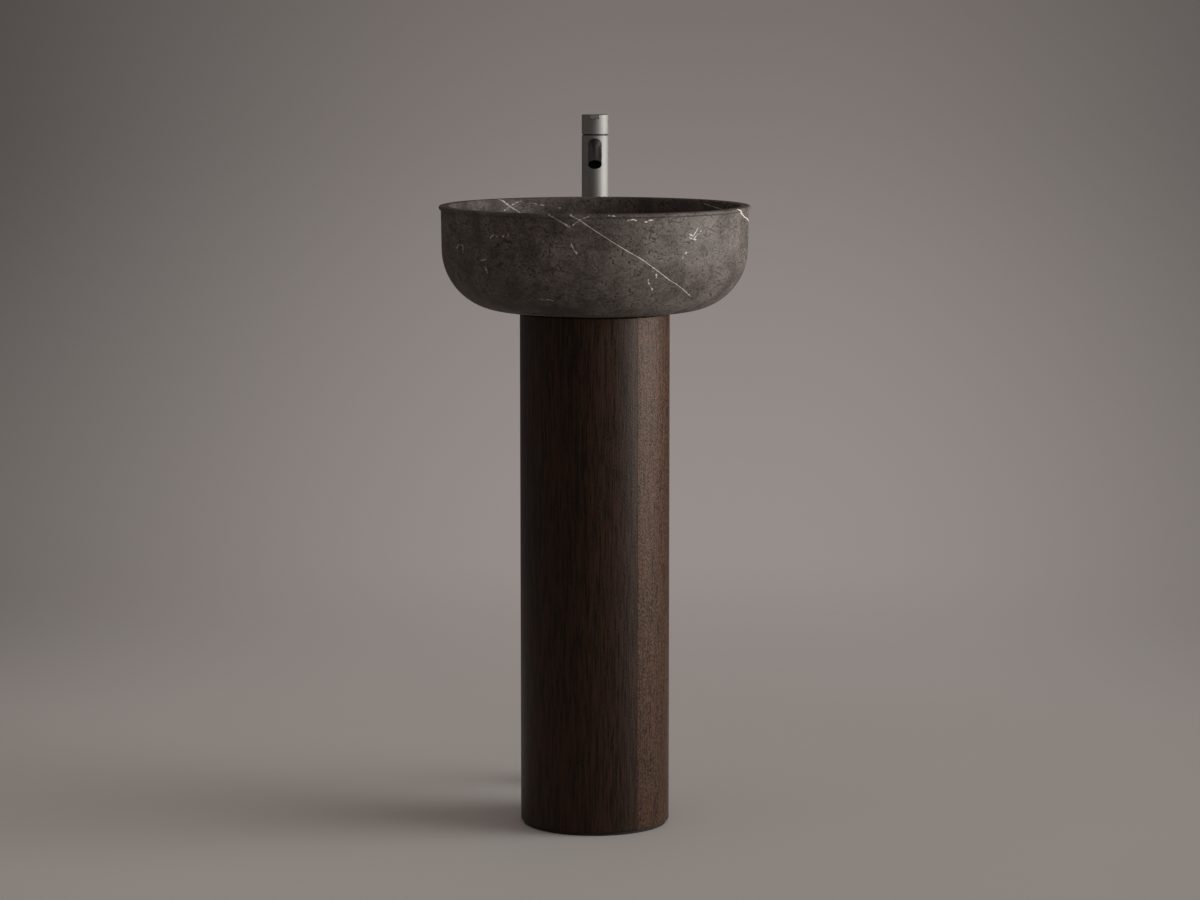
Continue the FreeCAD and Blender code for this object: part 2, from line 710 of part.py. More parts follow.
def outlet_way(radius, start):
    """The solid path of the outlet: level out of the trap, round a quarter bend, down to the socket."""
    section = Part.Face(Part.Wire(Part.makeCircle(radius, Vector(drain_x, 0, socket_top), UP)))
    centre = Vector(drain_x - ELBOW_BEND_RADIUS, 0, socket_top)
    bend = section.revolve(centre, Vector(0, -1, 0), 90)
    run = Part.makeCylinder(radius, centre.x - start, Vector(start, 0, outlet_level), Vector(1, 0, 0))
    return [bend, run]


def trap_body():
    inner_radius = TRAP_RADIUS - TRAP_WALL
    body = disc(TRAP_RADIUS, trap_bottom, trap_top)
    neck = disc(neck_radius, trap_top, neck_top)
    socket = disc(socket_radius, socket_bottom, socket_top, drain_at)
    body = body.fuse([neck, socket] + outlet_way(pipe_bore + ELBOW_WALL, 0))
    hollows = [
        disc(inner_radius, trap_bottom - OVERRUN, trap_top - TRAP_SHOULDER),
        disc(pipe_fit, trap_bottom, neck_top + OVERRUN),
        disc(pipe_fit, socket_bottom - OVERRUN, socket_bottom + SOCKET_DEPTH, drain_at),
        disc(pipe_bore, socket_bottom, socket_top, drain_at),
    ]
    return body.cut(hollows + outlet_way(pipe_bore, inner_radius / 2)).removeSplitter()


def trap_cup_seal():
    return ring(TRAP_RADIUS, TRAP_RADIUS - CUP_SEAL_WIDTH, trap_bottom - CUP_SEAL_THICKNESS, trap_bottom)


def trap_cup():
    fit = TRAP_RADIUS + GLUE_GAP
    outer = fit + CUP_WALL
    step = trap_bottom - CUP_SEAL_THICKNESS
    inner = TRAP_RADIUS - CUP_SEAL_WIDTH
    low = trap_bottom - CUP_DEPTH
    high = trap_bottom + CUP_LAP
    inset = CUP_ROUND * QUARTER_ARC_SHARE
    return turned(
        (0, low),
        (outer - CUP_ROUND, low),
        ((outer - inset, low + inset), (outer, low + CUP_ROUND)),
        (outer, high),
        (fit, high),
        (fit, step),
        (inner, step),
        (inner, low + CUP_FLOOR + CUP_ROUND),
        ((inner - inset, low + CUP_FLOOR + inset), (inner - CUP_ROUND, low + CUP_FLOOR)),
        (0, low + CUP_FLOOR),
    )


def drain_seal():
    return ring(socket_radius, pipe_fit, socket_bottom - SLIP_SEAL_THICKNESS, socket_bottom, drain_at)


def drain_nut():
    shoulder = socket_bottom - SLIP_SEAL_THICKNESS
    return slip_nut(
        DRAIN_NUT_RADIUS,
        socket_radius + GLUE_GAP,
        pipe_fit,
        socket_bottom + DRAIN_NUT_LAP,
        shoulder,
        shoulder - NUT_FLOOR,
        drain_at,
    )


def drain_pipe():
    pipe = disc(PIPE_RADIUS, 0, drain_top, drain_at)
    bead = disc(STOP_BEAD_RADIUS, STOP_BEAD_LEVEL, STOP_BEAD_LEVEL + STOP_BEAD_HEIGHT, drain_at)
    return pipe.fuse(bead).cut(disc(pipe_bore, -OVERRUN, drain_top + OVERRUN, drain_at))


def along_spout(distance):
    """The point at a distance from the tap's axis along the spout's axis."""
    turn = math.radians(SPOUT_SLOPE)
    start = Vector(0, tap_y, riser_top - SPOUT_DROP)
    return start + Vector(0, -math.cos(turn), -math.sin(turn)) * distance


def spout_bar(radius, near, far):
    """A round bar on the spout's axis between two distances from the tap's axis."""
    start = along_spout(near)
    return Part.makeCylinder(radius, far - near, start, along_spout(far) - start)


def spout():
    turn = math.radians(MOUTH_SLOPE)
    far = spout_mouth + mouth_half + OVERRUN
    bore = spout_bar(spout_bore, spout_root - OVERRUN, far + OVERRUN)
    tube = spout_bar(SPOUT_RADIUS, spout_root, far).cut(bore)
    ahead = Vector(0, -math.sin(turn), -math.cos(turn))
    cutter_radius = mouth_half + SPOUT_RADIUS + SPOUT_RADIUS + OVERRUN
    cutter = Part.makeCylinder(cutter_radius, cutter_radius, along_spout(spout_mouth), ahead)
    return tube.cut(cutter)


def spout_seal():
    near = spout_root - SPOUT_SEAL_THICKNESS
    bore = spout_bar(SPOUT_SEAL_BORE, near - OVERRUN, spout_root + OVERRUN)
    return spout_bar(SPOUT_RADIUS, near, spout_root).cut(bore)


def flow_straightener():
    far = spout_mouth - mouth_half - STRAIGHTENER_SINK
    near = far - STRAIGHTENER_THICKNESS
    plug = spout_bar(spout_bore - GLUE_GAP, near, far)
    holes = []
    axis = along_spout(far) - along_spout(near)
    rise = Vector(1, 0, 0).cross(axis).normalize()
    for row in range(-2, 3):
        for column in range(-2, 3):
            across = (column + row / 2) * STRAIGHTENER_HOLE_SPACING
            upward = row * STRAIGHTENER_HOLE_SPACING * math.sqrt(3) / 2
            reach = math.hypot(across, upward) + STRAIGHTENER_HOLE_RADIUS
            if reach < spout_bore - STRAIGHTENER_HOLE_RADIUS:
                start = along_spout(near - OVERRUN) + Vector(across, 0, 0) + rise * upward
                length = STRAIGHTENER_THICKNESS + OVERRUN + OVERRUN
                holes.append(Part.makeCylinder(STRAIGHTENER_HOLE_RADIUS, length, start, axis))
    return plug.cut(holes)


def tap_floor_flange():
    base = disc(TAP_FLANGE_RADIUS, 0, TAP_FLANGE_THICKNESS, tap_at)
    spigot_top = TAP_FLANGE_THICKNESS + SPIGOT_HEIGHT
    spigot = disc(spigot_radius, TAP_FLANGE_THICKNESS, spigot_top, tap_at)
    bore = disc(spigot_radius - SPIGOT_WALL, -OVERRUN, spigot_top + OVERRUN, tap_at)
    hole_at = (TAP_BOLT_CIRCLE_RADIUS, tap_y)
    hole = disc(TAP_BOLT_HOLE_RADIUS, -OVERRUN, TAP_FLANGE_THICKNESS + OVERRUN, hole_at)
    return base.fuse(spigot).cut([bore] + turns(hole, TAP_BOLT_COUNT, TAP_BOLT_TURN, tap_at))


def tap_floor_cover():
    edge = COVER_EDGE_ROUND
    inset = edge * QUARTER_ARC_SHARE
    hole = TAP_RADIUS + COVER_GAP
    return turned(
        (COVER_RADIUS - COVER_WALL, 0),
        (COVER_RADIUS, 0),
        (COVER_RADIUS, COVER_HEIGHT - edge),
        ((COVER_RADIUS - inset, COVER_HEIGHT - inset), (COVER_RADIUS - edge, COVER_HEIGHT)),
        (hole, COVER_HEIGHT),
        (hole, COVER_HEIGHT - COVER_WALL),
        (COVER_RADIUS - COVER_WALL, COVER_HEIGHT - COVER_WALL),
        at=tap_at,
    )


def cover_o_ring():
    top = COVER_HEIGHT - COVER_WALL
    return ring(TAP_RADIUS + COVER_RING_WIDTH, TAP_RADIUS + GLUE_GAP, top - COVER_RING_HEIGHT, top, tap_at)


def tap_riser():
    edge = TAP_EDGE_ROUND
    inset = edge * QUARTER_ARC_SHARE
    tube = turned(
        (tap_bore, TAP_FLANGE_THICKNESS),
        (TAP_RADIUS, TAP_FLANGE_THICKNESS),
        (TAP_RADIUS, riser_top - edge),
        ((TAP_RADIUS - inset, riser_top - inset), (TAP_RADIUS - edge, riser_top)),
        (tap_bore, riser_top),
        at=tap_at,
    )
    return tube.cut(spout_bar(spout_fit, spout_root, TAP_RADIUS + TAP_RADIUS))


def valve_body():
    body = disc(valve_radius, valve_bottom, riser_top, tap_at)
    neck = disc(VALVE_NECK_RADIUS, riser_top, valve_neck_top, tap_at)
    centre = riser_top - SPOUT_DROP
    hollows = [
        disc(CARTRIDGE_RADIUS + GLUE_GAP, cartridge_seat, valve_neck_top + OVERRUN, tap_at),
        disc(VALVE_OUTLET_RADIUS, centre, cartridge_seat + OVERRUN, tap_at),
        spout_bar(SPOUT_SEAL_BORE, 0, spout_root),
        spout_bar(spout_fit, spout_root - SPOUT_SEAL_THICKNESS, TAP_RADIUS + TAP_RADIUS),
    ]
    for x in (-SUPPLY_SPACING / 2, SUPPLY_SPACING / 2):
        hollows.append(disc(supply_fit, valve_bottom - OVERRUN, valve_bottom + SUPPLY_INSERT, (x, tap_y)))
        hollows.append(disc(CARTRIDGE_PORT_RADIUS, valve_bottom, cartridge_seat + OVERRUN, (x, tap_y)))
    return body.fuse(neck).cut(hollows).removeSplitter()


def cartridge_housing():
    hollows = [disc(stem_fit, cartridge_top - STEM_DEPTH - STEM_END_ROOM, cartridge_top + OVERRUN, tap_at)]
    for x in (-SUPPLY_SPACING / 2, 0, SUPPLY_SPACING / 2):
        top = cartridge_seat + CARTRIDGE_PORT_DEPTH
        hollows.append(disc(CARTRIDGE_PORT_RADIUS, cartridge_seat - OVERRUN, top, (x, tap_y)))
    return disc(CARTRIDGE_RADIUS, cartridge_seat, cartridge_top, tap_at).cut(hollows)


def cartridge_nut():
    return ring(CARTRIDGE_RADIUS, CARTRIDGE_NUT_BORE, cartridge_top, valve_neck_top, tap_at)


def cartridge_stem():
    return disc(STEM_RADIUS, cartridge_top - STEM_DEPTH, cap_ceiling - BOSS_END - STEM_END_ROOM, tap_at)


def handle_glide_ring():
    inner = VALVE_NECK_RADIUS + GLUE_GAP
    return ring(TAP_RADIUS - GLIDE_SETBACK, inner, riser_top, cap_bottom - GLIDE_GAP, tap_at)


def rearward(radius, near, far):
    """A level round bar behind the tap's axis, at the grub screw's height."""
    return Part.makeCylinder(radius, far - near, Vector(0, tap_y + near, grub_level), Vector(0, 1, 0))


def handle_cap():
    edge = CAP_EDGE_ROUND
    inset = edge * QUARTER_ARC_SHARE
    skin = turned(
        (0, cap_bottom),
        (TAP_RADIUS - edge, cap_bottom),
        ((TAP_RADIUS - inset, cap_bottom + inset), (TAP_RADIUS, cap_bottom + edge)),
        (TAP_RADIUS, tap_top - edge),
        ((TAP_RADIUS - inset, tap_top - inset), (TAP_RADIUS - edge, tap_top)),
        (0, tap_top),
        at=tap_at,
    )
    end = tap_y - TAP_RADIUS - TAB_REACH
    half = TAB_WIDTH / 2
    tab = box((-half, end, tap_top - TAB_THICKNESS), (half, tap_y, tap_top))
    tab = tab.makeFillet(TAB_EDGE_ROUND, tab.Edges)
    cap = skin.fuse(tab)
    cap = cap.cut(disc(TAP_RADIUS - CAP_WALL, cap_bottom - OVERRUN, cap_ceiling, tap_at))
    boss = disc(BOSS_RADIUS, boss_bottom, cap_ceiling, tap_at)
    cap = cap.fuse(boss).removeSplitter()
    stem_hole = disc(stem_fit, boss_bottom - OVERRUN, cap_ceiling - BOSS_END, tap_at)
    grub_hole = rearward(GRUB_RADIUS + GLUE_GAP, 0, BOSS_RADIUS + OVERRUN)
    key_hole = rearward(GRUB_HOLE_RADIUS, BOSS_RADIUS + OVERRUN, TAP_RADIUS + OVERRUN)
    return cap.cut([stem_hole, grub_hole, key_hole])


def handle_grub_screw():
    return rearward(GRUB_RADIUS, STEM_RADIUS + GLUE_GAP, BOSS_RADIUS)


def handle_screw_plug():
    return rearward(GRUB_HOLE_RADIUS - GLUE_GAP, TAP_RADIUS - CAP_WALL, TAP_RADIUS - GRUB_PLUG_SINK)


def supply_tube(x):
    return ring(SUPPLY_RADIUS, SUPPLY_RADIUS - SUPPLY_WALL, 0, valve_bottom + SUPPLY_INSERT, (x, tap_y))


def supply_tube_cold():
    return supply_tube(SUPPLY_SPACING / 2)


def supply_tube_hot():
    return supply_tube(-SUPPLY_SPACING / 2)


def supply_tube_nuts():
    nuts = []
    low = valve_bottom - SUPPLY_NUT_HEIGHT
    for x in (-SUPPLY_SPACING / 2, SUPPLY_SPACING / 2):
        nut = hexagon(SUPPLY_NUT_ACROSS, low, valve_bottom, (x, tap_y))
        nuts.append(nut.cut(disc(supply_fit, low - OVERRUN, valve_bottom + OVERRUN, (x, tap_y))))
    return Part.makeCompound(nuts)


PIECES = (
    column_shell,
    hatch_panel,
    hatch_strike_plates,
    hatch_battens,
    hatch_magnets,
    top_ring,
    base_ring,
    plinth_ring,
    bearing_gasket,
    floor_brackets,
    bracket_screws,
    basin_bowl,
    stone_inserts,
    bolt_washers,
    bowl_bolts,
    waste_body,
    waste_flange_seal,
    waste_rubber_washer,
    waste_back_nut,
    click_cartridge,
    click_spring,
    waste_plug,
    plug_seal,
    trap_union_seal,
    trap_union_nut,
    trap_inlet_pipe,
    trap_inlet_seal,
    trap_inlet_nut,
    trap_body,
    trap_cup_seal,
    trap_cup,
    drain_seal,
    drain_nut,
    drain_pipe,
    tap_floor_flange,
    tap_floor_cover,
    cover_o_ring,
    tap_riser,
    valve_body,
    cartridge_housing,
    cartridge_nut,
    cartridge_stem,
    handle_glide_ring,
    handle_cap,
    handle_grub_screw,
    handle_screw_plug,
    spout,
    spout_seal,
    flow_straightener,
    supply_tube_cold,
    supply_tube_hot,
    supply_tube_nuts,
)

os.makedirs("parts", exist_ok=True)
for piece in PIECES:
    piece().exportStep("parts/" + piece.__name__ + ".step")
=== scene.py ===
import json
import math

import bpy
import numpy as np
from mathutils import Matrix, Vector


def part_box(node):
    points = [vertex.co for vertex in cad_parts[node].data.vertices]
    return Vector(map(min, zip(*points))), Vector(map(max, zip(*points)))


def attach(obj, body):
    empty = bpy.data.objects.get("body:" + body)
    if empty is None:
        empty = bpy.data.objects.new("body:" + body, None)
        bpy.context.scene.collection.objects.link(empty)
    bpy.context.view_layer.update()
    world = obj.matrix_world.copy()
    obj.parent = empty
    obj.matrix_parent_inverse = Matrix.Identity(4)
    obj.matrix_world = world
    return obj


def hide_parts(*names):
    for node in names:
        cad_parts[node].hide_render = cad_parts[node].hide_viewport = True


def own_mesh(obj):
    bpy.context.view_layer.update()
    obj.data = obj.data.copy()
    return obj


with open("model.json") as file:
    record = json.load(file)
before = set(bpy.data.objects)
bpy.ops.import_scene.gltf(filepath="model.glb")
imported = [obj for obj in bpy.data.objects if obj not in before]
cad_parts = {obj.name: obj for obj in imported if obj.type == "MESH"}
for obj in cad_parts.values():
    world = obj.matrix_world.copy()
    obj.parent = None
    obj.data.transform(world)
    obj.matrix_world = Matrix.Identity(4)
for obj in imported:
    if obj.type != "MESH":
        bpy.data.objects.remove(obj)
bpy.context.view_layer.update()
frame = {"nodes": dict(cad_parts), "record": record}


def paint(red, green, blue):
    """A display colour from 0 to 255 as the linear colour that a shader takes."""
    levels = []
    for level in (red, green, blue):
        share = level / 255
        levels.append(share / 12.92 if share < 0.04045 else ((share + 0.055) / 1.055) ** 2.4)
    return (*levels, 1.0)


# Camera, with all lengths in metres and all turns in degrees
CAMERA_PLACE = (0.0075, -5.2927, 1.2020)
CAMERA_PITCH = 7.0665
CAMERA_LENS = 110.60

# Stage
FLOOR_HALF = 6.0
FLOOR_FADE_START = 0.6
FLOOR_FADE_END = 2.6
FLOOR_WEAR = 0.5
FLOOR_ROUGHNESS = 0.8
FLOOR_SPECULAR = 0.2
FLOOR_SEEN = paint(252, 247, 242)  # by the camera and in shiny pieces
FLOOR_BOUNCE = paint(122, 117, 114)  # for the light that it throws back
KEY_TURN = 82.0  # from the camera's side towards +X
KEY_DISTANCE = 3.2
KEY_HEIGHT = 1.15
KEY_WIDTH = 4.8
KEY_TALL = 1.8
KEY_SPREAD = 72.0  # as a grid in front of a soft box gives
KEY_POWER = 40.0
KEY_TILT = 2.5  # upwards

# Surround, each span being the X, Y or Z of a way of length 1
BACKDROP_MIDDLE = 0.025
BACKDROP_SIDE_SPAN = (0.02, 0.26)
BACKDROP_HEIGHT_SPAN = (-0.10, 0.08)
BACKDROP_DEPTH_SPAN = (0.0, 0.7)
SURROUND_SPAN = (0.15, 0.75)
OVERHEAD_SPAN = (0.10, 0.55)
FAR_FLOOR_SPAN = (-0.15, -0.03)
BACKDROP_LOW = paint(136, 129, 126)
BACKDROP_HIGH = paint(104, 97, 94)
BACKDROP_SIDE = paint(66, 62, 60)
SURROUND_LEFT = paint(130, 124, 121)
SURROUND_RIGHT = paint(163, 156, 152)
OVERHEAD = paint(108, 102, 99)
FAR_FLOOR_MIDDLE = paint(149, 142, 139)
FAR_FLOOR_SIDE = paint(96, 90, 87)

# Stone
LIP_OVERHANG = 0.003  # past the bowl's wall
BOWL_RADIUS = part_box("basin_bowl")[1][0] - LIP_OVERHANG
STONE_CLOUD = 0.120
STONE_MOTTLE = 0.034
STONE_GRAIN = 0.0034
STONE_SPECK = 0.0075
STONE_CRACK = 0.026
STONE_HAIR = 0.011
CRACK_LEVEL_SHARE = 2.0
STONE_WARP = 0.012
STROKE_WARP = 0.0050
STROKE_WARP_SIZE = 0.0065
STONE_SQUIGGLE = 0.014
STONE_PATCH = 0.075
STONE_BUMP = 0.0006
VEIN_HALF = 0.0006
THICK_VEIN_HALF = 0.0011
BRIGHT_STROKE_HALF = 0.0011
FAINT_STROKE_HALF = 0.0008
STROKE_BEAD = 0.0042
CRACK_HALF = 0.0006
PIT_RADIUS = 0.0016
# radius of the white spots painted as glints
GLINT_SPOT_RADIUS = 0.0014
VEIN_EDGE = 0.0005
VEIN_SWAY = 0.0026
VEIN_SWAY_SIZE = 0.024
STONE_ROUGHNESS = 0.50
STONE_SPECULAR = 0.28
STONE_DARK = paint(86, 78, 73)
STONE_PALE = paint(131, 121, 113)
STONE_CLOUDED = paint(92, 82, 76)
CRACK_BROWN = paint(42, 36, 33)
SPECK_BROWN = paint(34, 29, 27)
# white of the veins and of the painted glints
VEIN_AND_GLINT_WHITE = paint(230, 223, 216)

# Veins, cracks, white spots painted as glints, and pits of the bowl as (degrees from the front towards +X,
# height)
MAIN_VEINS = (
    ((-8.5, 0.899), (-5.6, 0.892), (7.8, 0.8585), (18.2, 0.8345), (28.4, 0.808), (42.8, 0.780)),
    ((-16.5, 0.899), (-9.0, 0.8825)),
    ((-137.5, 0.900), (-148.5, 0.8775)),
    ((129.5, 0.894), (115.5, 0.887)),
)
THICK_VEINS = (((64.5, 0.8995), (66.5, 0.8975), (74.0, 0.887), (85.5, 0.878)),)
BRIGHT_STROKES = (
    ((-8.5, 0.899), (-5.6, 0.892)),
    ((23.1, 0.816), (23.7, 0.812)),
    ((-8.3, 0.8585), (-7.2, 0.8505), (-6.4, 0.845)),
    ((11.8, 0.8915), (15.1, 0.891)),
    ((18.6, 0.8895), (21.7, 0.891)),
    ((4.9, 0.8985), (7.3, 0.8975)),
    ((-137.5, 0.900), (-142.5, 0.890)),
    ((-140.0, 0.883), (-143.0, 0.8885)),
    ((-7.7, 0.8845), (-5.4, 0.892)),
    ((-11.0, 0.887), (-9.0, 0.8825)),
)
FAINT_STROKES = (
    ((20.0, 0.8085), (20.7, 0.802), (22.9, 0.793)),
    ((33.5, 0.8355), (34.2, 0.8415), (36.2, 0.8445)),
    ((36.7, 0.8695), (38.4, 0.867), (39.8, 0.872), (40.7, 0.8765)),
    ((36.5, 0.8655), (39.6, 0.8605)),
    ((38.9, 0.8635), (42.2, 0.873)),
    ((-23.6, 0.7795), (-17.2, 0.779)),
    ((-41.5, 0.863), (-40.0, 0.8685), (-38.1, 0.8665)),
    ((-35.1, 0.8705), (-35.1, 0.8655)),
    ((-33.1, 0.871), (-33.0, 0.866)),
    ((-62.1, 0.845), (-59.6, 0.852), (-56.7, 0.849), (-57.5, 0.8395)),
    ((-46.1, 0.8315), (-42.9, 0.8335)),
    ((-44.3, 0.822), (-43.5, 0.8145)),
    ((-143.0, 0.8885), (-148.5, 0.8965)),
    ((-5.4, 0.892), (-1.7, 0.898)),
    ((-154.0, 0.8905), (-158.5, 0.889)),
    ((-163.5, 0.8845), (-166.0, 0.884)),
)
CRACKS = (
    ((-0.8, 0.842), (-0.8, 0.834), (1.4, 0.823), (-0.1, 0.8015), (2.2, 0.790), (0.8, 0.775)),
    ((44.1, 0.8305), (49.8, 0.8165), (56.7, 0.808)),
    ((49.8, 0.8165), (49.4, 0.804)),
    ((11.4, 0.8905), (14.0, 0.8805)),
)
# painted glints: white spots where the strokes catch the light
PAINTED_GLINT_SPOTS = (
    ((-8.3, 0.8585),),
    ((-7.9, 0.8552),),
    ((-6.5, 0.847),),
    ((-43.9, 0.819),),
    ((-60.6, 0.85),),
    ((22.6, 0.7945),),
)
PITS = (
    ((-14.8, 0.8815),),
    ((12.6, 0.8335),),
    ((31.3, 0.849),),
    ((38.3, 0.794),),
)

# Wood
COLUMN_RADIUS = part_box("column_shell")[1][0]
WOOD_BAND = 0.030
WOOD_STREAK = 0.0032
WOOD_FIBRE = 0.0016
WOOD_PORE = 0.0010
WOOD_FLECK = 0.0027
WOOD_SWAY = 0.0040
WOOD_SWAY_SIZE = 0.28
WOOD_BUMP = 0.0004
LEAF_TURN = 72.0  # of the column's round that one veneer leaf covers
LEAF_EDGE = 34.3  # of the first leaf, the lighter one on the key lamp's side, from the front towards +X
JOINT_HALF = 0.0003
JOINT_BLUR = 0.002
BAND_SHARE = 0.045
STREAK_SHARE = 0.042
FIBRE_SHARE = 0.042
PORE_SHARE = 0.070
FLECK_SHARE = 0.65
WOOD_ROUGHNESS = 0.30
WOOD_SPECULAR = 0.27
WOOD_DARK = paint(18, 10, 7)
WOOD_BROWN = paint(86, 57, 42)
FLECK_BROWN = paint(118, 81, 57)
PORE_BROWN = paint(20, 14, 11)
JOINT_BROWN = paint(20, 14, 12)
LACQUER_TINT = paint(255, 236, 222)

# Spring of the click waste
SPRING_WIRE_RADIUS = 0.0004
SPRING_TURNS = 7
SPRING_TURN_STEPS = 24
SPRING_SIDES = 10

# Metals, plastics, rubber and plywood
BRUSH_LINE = 0.0005
BRUSH_SHARE = 0.012
SMUDGE = 0.045
SPANGLE = 0.006
TURNING_LINE = 0.0007
PATINA = 0.018
MOULD_GRAIN = 0.0009
DUST = 0.010
PLY = 0.0016
METAL_BUMP = 0.00003
MOULD_BUMP = 0.00008
STEEL_ROUGHNESS = 0.59
SATIN_ROUGHNESS = 0.36
ZINC_ROUGHNESS = 0.34
PLY_ROUGHNESS = 0.55
ZINC_GREY = paint(150, 152, 154)
ZINC_PALE = paint(196, 198, 199)
PLY_TAN = paint(176, 140, 98)
PLY_PALE = paint(206, 174, 130)
GLUE_BROWN = paint(110, 76, 46)


class Wire:
    """A socket in a node tree. Arithmetic on it adds nodes to that tree."""

    def __init__(self, tree, socket=None):
        self.tree = tree
        self.socket = socket

    def node(self, kind, settings, sockets, output=0):
        made = self.tree.nodes.new(kind)
        for key, value in settings.items():
            setattr(made, key, value)
        for key, value in sockets.items():
            if isinstance(value, Wire):
                self.tree.links.new(value.socket, made.inputs[key])
            else:
                made.inputs[key].default_value = value
        return Wire(self.tree, made.outputs[output])

    def sum(self, operation, first, second=0.0):
        return self.node("ShaderNodeMath", {"operation": operation}, {0: first, 1: second})

    def __add__(self, other):
        return self.sum("ADD", self, other)

    __radd__ = __add__

    def __sub__(self, other):
        return self.sum("SUBTRACT", self, other)

    def __rsub__(self, other):
        return self.sum("SUBTRACT", other, self)

    def __mul__(self, other):
        return self.sum("MULTIPLY", self, other)

    __rmul__ = __mul__

    def __truediv__(self, other):
        return self.sum("DIVIDE", self, other)

    def __abs__(self):
        return self.sum("ABSOLUTE", self)

    def lesser(self, other):
        return self.sum("MINIMUM", self, other)

    def greater(self, other):
        return self.sum("MAXIMUM", self, other)

    def rise(self, low, high):
        """0 below low, 1 above high and a smooth rise between."""
        settings = {"interpolation_type": "SMOOTHSTEP", "clamp": False}
        return self.node("ShaderNodeMapRange", settings, {"Value": self, "From Min": low, "From Max": high})

    def fall(self, low, high):
        """1 below low, 0 above high and a smooth fall between."""
        return 1.0 - self.rise(low, high)

    def vector(self, operation, other, output=0):
        return self.node("ShaderNodeVectorMath", {"operation": operation}, {0: self, 1: other}, output)

    def length(self):
        return self.vector("LENGTH", (0.0, 0.0, 0.0), "Value")

    def axis(self, name):
        return self.node("ShaderNodeSeparateXYZ", {}, {0: self}, name)

    def joined(self, x, y, z):
        """A vector from its three parts."""
        return self.node("ShaderNodeCombineXYZ", {}, {"X": x, "Y": y, "Z": z})

    def noise(self, size, detail=2.0, rough=0.5, twist=0.0):
        """Cloudy noise from 0 to 1 whose features are about size across."""
        sockets = {"Vector": self, "Scale": 1 / size, "Detail": detail}
        sockets.update({"Roughness": rough, "Distortion": twist})
        return self.node("ShaderNodeTexNoise", {}, sockets, "Fac")

    def drift(self, size, detail, reach):
        """A wandering shift of up to half of reach either way, whose bends are about size across."""
        sockets = {"Vector": self, "Scale": 1 / size, "Detail": detail}
        cloud = self.node("ShaderNodeTexNoise", {}, sockets, "Color")
        return cloud.vector("SUBTRACT", (0.5, 0.5, 0.5)).vector("MULTIPLY", reach)

    def cells(self, size, output="Distance"):
        """Cells about size across: the distance from each one's middle, or a colour for each."""
        return self.node("ShaderNodeTexVoronoi", {}, {"Vector": self, "Scale": 1 / size}, output)

    def steps(self):
        """A random number from 0 to 1 for each whole step of this value."""
        step = self.sum("FLOOR", self)
        return self.node("ShaderNodeTexWhiteNoise", {"noise_dimensions": "1D"}, {"W": step}, "Value")

    def ridge(self, size, detail=2.0, rough=0.5, twist=0.0):
        """0 on winding lines and up to 1 away from them."""
        return abs(self.noise(size, detail, rough, twist) - 0.5) * 2.0

    def along(self, share):
        """The place with its height squeezed, so that a pattern runs along Z."""
        return self.vector("MULTIPLY", (1.0, 1.0, share))

    def blend(self, first, second):
        """Two colours mixed by this factor."""
        settings = {"data_type": "RGBA", "clamp_factor": True}
        return self.node("ShaderNodeMix", settings, {0: self, 6: first, 7: second}, 2)

    def shade(self, colour):
        """A colour made lighter or darker by this factor."""
        colour = colour if isinstance(colour, Wire) else colour[:3]
        return self.node("ShaderNodeVectorMath", {"operation": "SCALE"}, {0: colour, "Scale": self})

    def bump(self, height, depth):
        """The surface's normal under a relief of this height, from 0 to 1, times depth."""
        sockets = {"Strength": 1.0, "Distance": depth, "Height": height}
        return self.node("ShaderNodeBump", {}, sockets, "Normal")


class Finish(Wire):
    """A new material's node tree, starting from the place on the object."""

    def __init__(self, name):
        self.material = bpy.data.materials.new(name)
        self.material.use_nodes = True
        super().__init__(self.material.node_tree)
        self.shader = self.tree.nodes["Principled BSDF"]
        self.place = self.node("ShaderNodeTexCoord", {}, {}, "Object")

    def turn(self):
        """Radians round the object's upright axis, from the front towards +X."""
        return self.sum("ARCTAN2", self.place.axis("X"), self.place.axis("Y") * -1.0)

    def set(self, **values):
        """Shader inputs by name, with spaces written as underscores."""
        for key, value in values.items():
            socket = self.shader.inputs[key.replace("_", " ")]
            if isinstance(value, Wire):
                self.tree.links.new(value.socket, socket)
            else:
                socket.default_value = value
        return self.material


def vein_distance(spot, veins):
    """Distance from a spot on the unrolled bowl to the nearest vein. A vein of one point is a dot."""
    nearest = None
    for course in veins:
        points = [Vector((math.radians(turn) * BOWL_RADIUS, height, 0.0)) for turn, height in course]
        gaps = [spot.vector("DISTANCE", points[0], "Value")] if len(points) == 1 else []
        for start, end in zip(points, points[1:]):
            run = end - start
            from_start = spot.vector("SUBTRACT", start)
            share = from_start.vector("DOT_PRODUCT", run / run.length_squared, "Value")
            share = share.greater(0.0).lesser(1.0)
            foot = spot.node("ShaderNodeVectorMath", {"operation": "SCALE"}, {0: run, "Scale": share})
            gaps.append(from_start.vector("DISTANCE", foot, "Value"))
        for gap in gaps:
            nearest = gap if nearest is None else nearest.lesser(gap)
    return nearest


